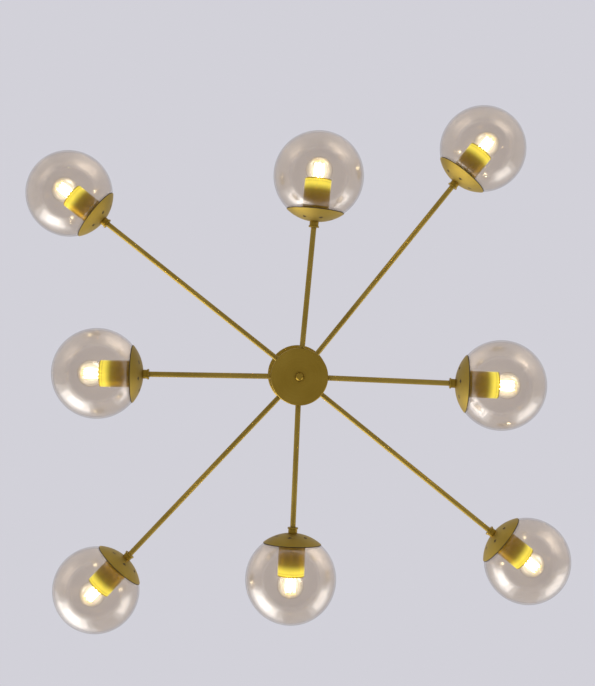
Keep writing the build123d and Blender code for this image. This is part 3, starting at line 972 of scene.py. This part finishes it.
def collar_outline():
    caps = chosen("caps")
    front = cap_back()
    back = front - caps.collar_length
    step = back + caps.lip_length
    socket = 4.55 * MM
    return softened([
        (front, caps.bore), (front, caps.collar), (step, caps.collar), (step, caps.collar_lip),
        (back, caps.collar_lip), (back, socket), (front - 0.003, socket), (front - 0.003, caps.bore),
    ], 0.0006)


def sleeve_outline():
    caps = chosen("caps")
    back, front = sleeve_ends()
    inside = back + 1.0 * MM
    bore = caps.sleeve - caps.sleeve_sheet
    return softened([
        (cap_floor(), caps.bore), (cap_floor(), caps.sleeve_boss), (back, caps.sleeve_boss),
        (back, caps.sleeve), (front, caps.sleeve), (front, bore), (inside, bore), (inside, caps.bore),
    ], 0.0004)


def envelope_outline():
    """Round envelope with a neck that leaves the ball at a tangent and closes behind."""
    lamp = chosen("lamps")
    _, centre, neck_top = lamp_places()
    span = centre - neck_top
    away = sqrt(span ** 2 + lamp.neck ** 2)
    tangent = atan2(lamp.neck, -span) - acos(lamp.radius / away)
    ball = arc(centre, lamp.radius, 0.0, tangent, 40)
    joint = Vector(ball[-1])
    shoulder = Vector((neck_top, lamp.neck))
    foot = Vector((neck_top - lamp.neck_length, lamp.neck))
    cone = []
    for step in range(1, 9):
        s = step / 9
        line = joint.lerp(shoulder, s)
        cone.append((line.x, line.y - 0.0009 * sin(pi * s) ** 2))
    neck = [tuple(shoulder - Vector((0.0004, 0.0))), tuple(foot + Vector((0.0003, 0.0)))]
    return ball + cone + neck + [(foot.x, foot.y - 0.0003), (foot.x, 0.0)]


def screw_cap_outline():
    """Screw cap with rounded thread ridges, a glass insulator and a contact."""
    lamp = chosen("lamps")
    tip, _, neck_top = lamp_places()
    neck_end = neck_top - lamp.neck_length
    top = neck_top - 1.0 * MM
    outline = [(tip, 0.0), (tip, 0.0017), (tip + 0.0004, 0.002), (tip + 0.0015, 0.0025), (tip + 0.0035, 0.0055),
               (tip + 0.0045, lamp.screw - 0.0004)]
    start = tip + 0.0052
    end = neck_end - 0.0045
    ridges = 5
    for step in range(ridges * 8 + 1):
        s = step / (ridges * 8)
        swell = 0.5 - 0.5 * cos(2 * pi * ridges * s)
        outline.append((start + (end - start) * s, lamp.screw - 0.0009 + 0.0009 * swell))
    edge = lamp.screw + 0.4 * MM
    bore = lamp.neck + 0.05 * MM
    return outline + [(neck_end - 0.002, edge), (top - 0.0003, edge), (top, edge - 0.0002), (top, bore),
                      (neck_end, bore), (neck_end, 0.0)]


def stem_outline():
    """Glass stem with its flared foot."""
    lamp = chosen("lamps")
    _, centre, neck_top = lamp_places()
    foot = neck_top - lamp.neck_length
    top = centre + lamp.strip_length / 2
    return [(foot, 0.0), (foot, 0.003), (foot + 0.009, 0.0028), (foot + 0.0125, 0.0018), (foot + 0.016, 0.0014),
            (top - 0.0005, 0.0014), (top, 0.0009), (top, 0.0)]


def capsule(start, end, radius):
    """Round-ended rod outline."""
    return arc(end - radius, radius, 0.0, pi / 2, 5) + arc(start + radius, radius, pi / 2, pi, 5)


# --- Pieces ---
def build_globes():
    segments = chosen("glass").segments
    for tier in TIERS:
        for arm in ARMS:
            piece = turned(f"{tier}_glass_globe_{arm}", globe_outline(), segments)
            place_on_arm(dress(piece, tinted_glass()), tier, arm)
            install(piece, f"{tier}_tier", "amber_glass", f"{tier}_globe_{arm}")


def build_lamp_pieces(name, slot, node, outline, material, segments):
    """One piece on every arm of both tiers, from its outline; the material may differ by tier."""
    for tier in TIERS:
        piece = turned(f"{tier}_{name}", outline(), segments)
        repeat_on_arms(piece, tier, material(tier) if callable(material) else material)
        install(piece, f"{tier}_tier", slot, f"{tier}_{node}")


def build_caps():
    caps = chosen("caps")
    segments = chosen("brass").segments
    spins = {"upper": caps.upper_turns, "lower": caps.lower_turns}
    material = cap_brass()
    for tier in TIERS:
        piece = turned(f"{tier}_spun_caps", cap_outline(), segments)
        run_tree(
            piece, pierce_tree(), count=caps.vents, circle=caps.vent_circle, hole=caps.vent_radius,
            material=material,
        )
        repeat_on_arms(piece, tier, material, spins[tier])
        install(piece, f"{tier}_tier", "satin_brass", f"{tier}_caps")


def build_filaments():
    lamp = chosen("lamps")
    centre = lamp_places()[1]
    low = centre - lamp.strip_length / 2
    high = centre + lamp.strip_length / 2
    for tier in TIERS:
        strips = turned("strips", capsule(low, high, lamp.strip_radius), 16)
        run_tree(strips, ring_repeat_tree(), count=lamp.strips, distance=lamp.strip_spread,
                 material=lit_filament())
        mark_turned(strips)
        stem = dress(turned("stem", stem_outline(), 24), lit_filament())
        piece = joined(f"{tier}_lamp_filaments", [strips, stem])
        repeat_on_arms(piece, tier, lit_filament())
        install(piece, f"{tier}_tier", "filament", f"{tier}_filaments")


def mark_turned(piece):
    """Writes a piece's turned coordinates again after it was repeated round its axis."""
    values = [value for vertex in piece.data.vertices for value in vertex.co]
    piece.data.attributes["turned"].data.foreach_set("vector", values)


def arm_outline(tier, arm):
    """Arm tube from the hub's axis outwards, with a turned-down spigot at each end."""
    brass = chosen("brass")
    angle = arm_angle(tier, arm)
    outward = Vector((cos(angle), sin(angle), 0))
    along = [point.co.dot(outward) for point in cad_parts[f"{tier}_arm_{arm}"].data.vertices]
    start, end = min(along), max(along)
    bore = brass.arm - brass.arm_wall
    seat = sqrt(brass.hub ** 2 - brass.arm ** 2) - brass.arm_seat
    shoulder = tier_reach(tier) + cap_back() - brass.arm_socket
    return softened([
        (start, bore), (start, brass.spigot), (seat, brass.spigot), (seat, brass.arm), (shoulder, brass.arm),
        (shoulder, brass.spigot), (end, brass.spigot), (end, bore),
    ], 0.0003)


def build_arms():
    for tier in TIERS:
        for arm in ARMS:
            piece = turned(f"{tier}_arm_tube_{arm}", arm_outline(tier, arm), 32)
            place_on_arm(dress(piece, satin_brass("drawn")), tier, arm, from_globe=False)
            install(piece, f"{tier}_tier", "satin_brass", f"{tier}_arm_{arm}")


def add_lamp_lights():
    lamp = chosen("lamps")
    for tier in TIERS:
        for arm in ARMS:
            light = bpy.data.lights.new(f"{tier}_lamp_{arm}", "POINT")
            light.energy = lamp.power
            light.color = lamp.glow
            light.shadow_soft_size = 0.008
            made = bpy.data.objects.new(light.name, light)
            bpy.context.scene.collection.objects.link(made)
            made.location = arm_spot(tier, arm, lamp_places()[1])
            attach(made, f"{tier}_tier")


class CHANDELIER_OT_globes(bpy.types.Operator):
    """Blown glass globes"""

    bl_idname = "chandelier.globes"
    bl_label = "Globes"

    def execute(self, context):
        build_globes()
        return {"FINISHED"}


class CHANDELIER_OT_caps(bpy.types.Operator):
    """Spun caps with their vents"""

    bl_idname = "chandelier.caps"
    bl_label = "Caps"

    def execute(self, context):
        build_caps()
        return {"FINISHED"}


class CHANDELIER_OT_fittings(bpy.types.Operator):
    """Rubber rings, collars and sleeves"""

    bl_idname = "chandelier.fittings"
    bl_label = "Rings, collars and sleeves"

    def execute(self, context):
        segments = context.scene.chandelier_brass.segments
        build_lamp_pieces("rubber_rings", "black_rubber", "rim_gaskets", gasket_outline, rubber(), segments)
        build_lamp_pieces("turned_collars", "satin_brass", "collars", collar_outline, satin_brass("turned"), 48)
        build_lamp_pieces("lamp_sleeves", "satin_brass", "sleeves", sleeve_outline, sleeve_brass(), 72)
        return {"FINISHED"}


class CHANDELIER_OT_lamps(bpy.types.Operator):
    """Lamps with envelopes, screw caps, filaments and light"""

    bl_idname = "chandelier.lamps"
    bl_label = "Lamps"

    def execute(self, context):
        build_lamp_pieces("lamp_glass", "bulb_glass", "bulb_envelopes", envelope_outline, lamp_glass, 64)
        build_lamp_pieces("screw_caps", "bulb_cap_metal", "bulb_bases", screw_cap_outline, nickel(), 40)
        build_filaments()
        add_lamp_lights()
        return {"FINISHED"}


class CHANDELIER_OT_arms(bpy.types.Operator):
    """Arm tubes"""

    bl_idname = "chandelier.arms"
    bl_label = "Arms"

    def execute(self, context):
        build_arms()
        return {"FINISHED"}


class CHANDELIER_OT_centre(bpy.types.Operator):
    """Hubs, stem, canopy and finial"""

    bl_idname = "chandelier.centre"
    bl_label = "Centre"

    def execute(self, context):
        for node in ("upper_hub_shell", "lower_hub_shell", "upper_hub_lid", "lower_hub_lid", "canopy",
                     "canopy_collar", "stem", "stem_foot", "hub_spacer", "finial"):
            refinish(node, satin_brass("spun"))
        return {"FINISHED"}


class CHANDELIER_OT_fixings(bpy.types.Operator):
    """Bracket, nuts, wires and other hidden pieces"""

    bl_idname = "chandelier.fixings"
    bl_label = "Hidden fixings"

    def execute(self, context):
        finishes = {
            "ceiling_bracket": zinc(), "stem_nipple": zinc(), "bracket_nuts": zinc(), "centre_pipe": zinc(),
            "collar_screw": zinc(), "terminal_block": nylon(), "earth_screw": drawn_brass(),
            "supply_cable": sheath(), "friction_washers": nylon(),
        }
        for tier in TIERS:
            finishes[f"{tier}_arm_nuts"] = zinc()
            finishes[f"{tier}_arm_wires"] = sheath()
            finishes[f"{tier}_globe_springs"] = spring_steel()
            finishes[f"{tier}_lampholders"] = porcelain()
            finishes[f"{tier}_holder_contacts"] = drawn_brass()
        for node, material in finishes.items():
            refinish(node, material)
        return {"FINISHED"}


def look_at(place, target, up):
    """Matrix that points an object's -Z at a target with its Y near up."""
    back = (Vector(place) - Vector(target)).normalized()
    right = Vector(up).cross(back).normalized()
    above = back.cross(right)
    turn = Matrix((right, above, back)).transposed().to_4x4()
    return Matrix.Translation(place) @ turn


def add_area(name, place, target, size, power, tone):
    light = bpy.data.lights.new(name, "AREA")
    light.shape = "RECTANGLE"
    light.size = size[0]
    light.size_y = size[1]
    light.energy = power
    light.color = tone
    made = bpy.data.objects.new(name, light)
    bpy.context.scene.collection.objects.link(made)
    made.matrix_world = look_at(place, target, (0.0, 0.0, 1.0))
    return made


def build_floor(settings):
    half = settings.floor_size / 2
    level = settings.floor_drop
    corners = [(-half, -half, level), (half, -half, level), (half, half, level), (-half, half, level)]
    mesh = bpy.data.meshes.new("floor")
    mesh.from_pydata(corners, [], [(0, 1, 2, 3)])
    floor = bpy.data.objects.new("floor", mesh)
    bpy.context.scene.collection.objects.link(floor)
    material, graph = new_material("pale floor")
    x, y, _ = graph.split(object_place(graph))
    cloud = graph.noise(object_place(graph), 0.6, 2.0)
    near = graph.mix(cloud * 0.12, settings.floor, (0.55, 0.54, 0.55))
    tone = graph.mix(graph.step((x * x + y * y) ** 0.5, 1.5, 15.0), near, settings.far_floor)
    graph.finish_principled({"Base Color": tone, "Roughness": 0.85})
    mesh.materials.append(material)


class CHANDELIER_OT_stage(bpy.types.Operator):
    """Floor, light and camera"""

    bl_idname = "chandelier.stage"
    bl_label = "Stage"

    def execute(self, context):
        scene = context.scene
        settings = scene.chandelier_stage
        build_floor(settings)
        world = bpy.data.worlds.new("plain air")
        world.use_nodes = True
        world.node_tree.nodes.clear()
        graph = Graph(world.node_tree)
        air = graph.node("ShaderNodeBackground", {}, {"Color": rgba(settings.air), "Strength": 1.0})
        graph.node("ShaderNodeOutputWorld", {}, {"Surface": air})
        scene.world = world
        middle = (0.0, 0.0, tier_height("lower"))
        window, fill = settings.window_power, settings.fill_power
        for name, place, size, power, tone in (
            ("window", (-2.05, 2.25, 0.1), (2.5, 2.0), window, (1.0, 0.99, 0.98)),
            ("window core", (-2.0, 2.2, -0.1), (1.2, 1.0), window * 0.3, (1.0, 1.0, 1.0)),
            ("window surround", (-2.1, 2.3, 0.2), (3.8, 3.4), window * 0.9, (0.98, 0.98, 1.0)),
            ("fill", (2.35, 2.0, 0.2), (1.7, 1.5), fill, (1.0, 0.98, 0.96)),
            ("fill surround", (2.4, 2.05, 0.3), (2.9, 2.6), fill, (0.98, 0.98, 1.0)),
        ):
            add_area(name, place, middle, size, power, tone)
        camera = bpy.data.cameras.new("camera")
        camera.lens = settings.lens
        camera.clip_start = 0.01
        camera.clip_end = 200.0
        made = bpy.data.objects.new("camera", camera)
        scene.collection.objects.link(made)
        made.matrix_world = look_at(settings.camera, settings.aim, (0.0, -1.0, 0.0))
        scene.camera = made
        scene.view_settings.view_transform = "Standard"
        scene.cycles.transparent_max_bounces = 48
        return {"FINISHED"}


OPERATORS = (
    CHANDELIER_OT_globes,
    CHANDELIER_OT_caps,
    CHANDELIER_OT_fittings,
    CHANDELIER_OT_lamps,
    CHANDELIER_OT_arms,
    CHANDELIER_OT_centre,
    CHANDELIER_OT_fixings,
    CHANDELIER_OT_stage,
)


class CHANDELIER_PT_panel(bpy.types.Panel):
    """Sizes and build steps"""

    bl_idname = "CHANDELIER_PT_panel"
    bl_label = "Chandelier"
    bl_space_type = "VIEW_3D"
    bl_region_type = "UI"
    bl_category = "Chandelier"

    def draw(self, context):
        for operator in OPERATORS:
            self.layout.operator(operator.bl_idname)
        for pointer, group in GROUPS.items():
            box = self.layout.box()
            box.label(text=group.__doc__)
            settings = getattr(context.scene, pointer)
            for name in group.__annotations__:
                box.prop(settings, name)


CLASSES = (*GROUPS.values(), *OPERATORS, CHANDELIER_PT_panel)


def register():
    for cls in CLASSES:
        bpy.utils.register_class(cls)
    for pointer, group in GROUPS.items():
        setattr(bpy.types.Scene, pointer, PointerProperty(type=group))


def unregister():
    for pointer in GROUPS:
        delattr(bpy.types.Scene, pointer)
    for cls in reversed(CLASSES):
        bpy.utils.unregister_class(cls)


def main():
    register()
    for operator in OPERATORS:
        family, name = operator.bl_idname.split(".")
        getattr(getattr(bpy.ops, family), name)()


if __name__ == "__main__":
    main()
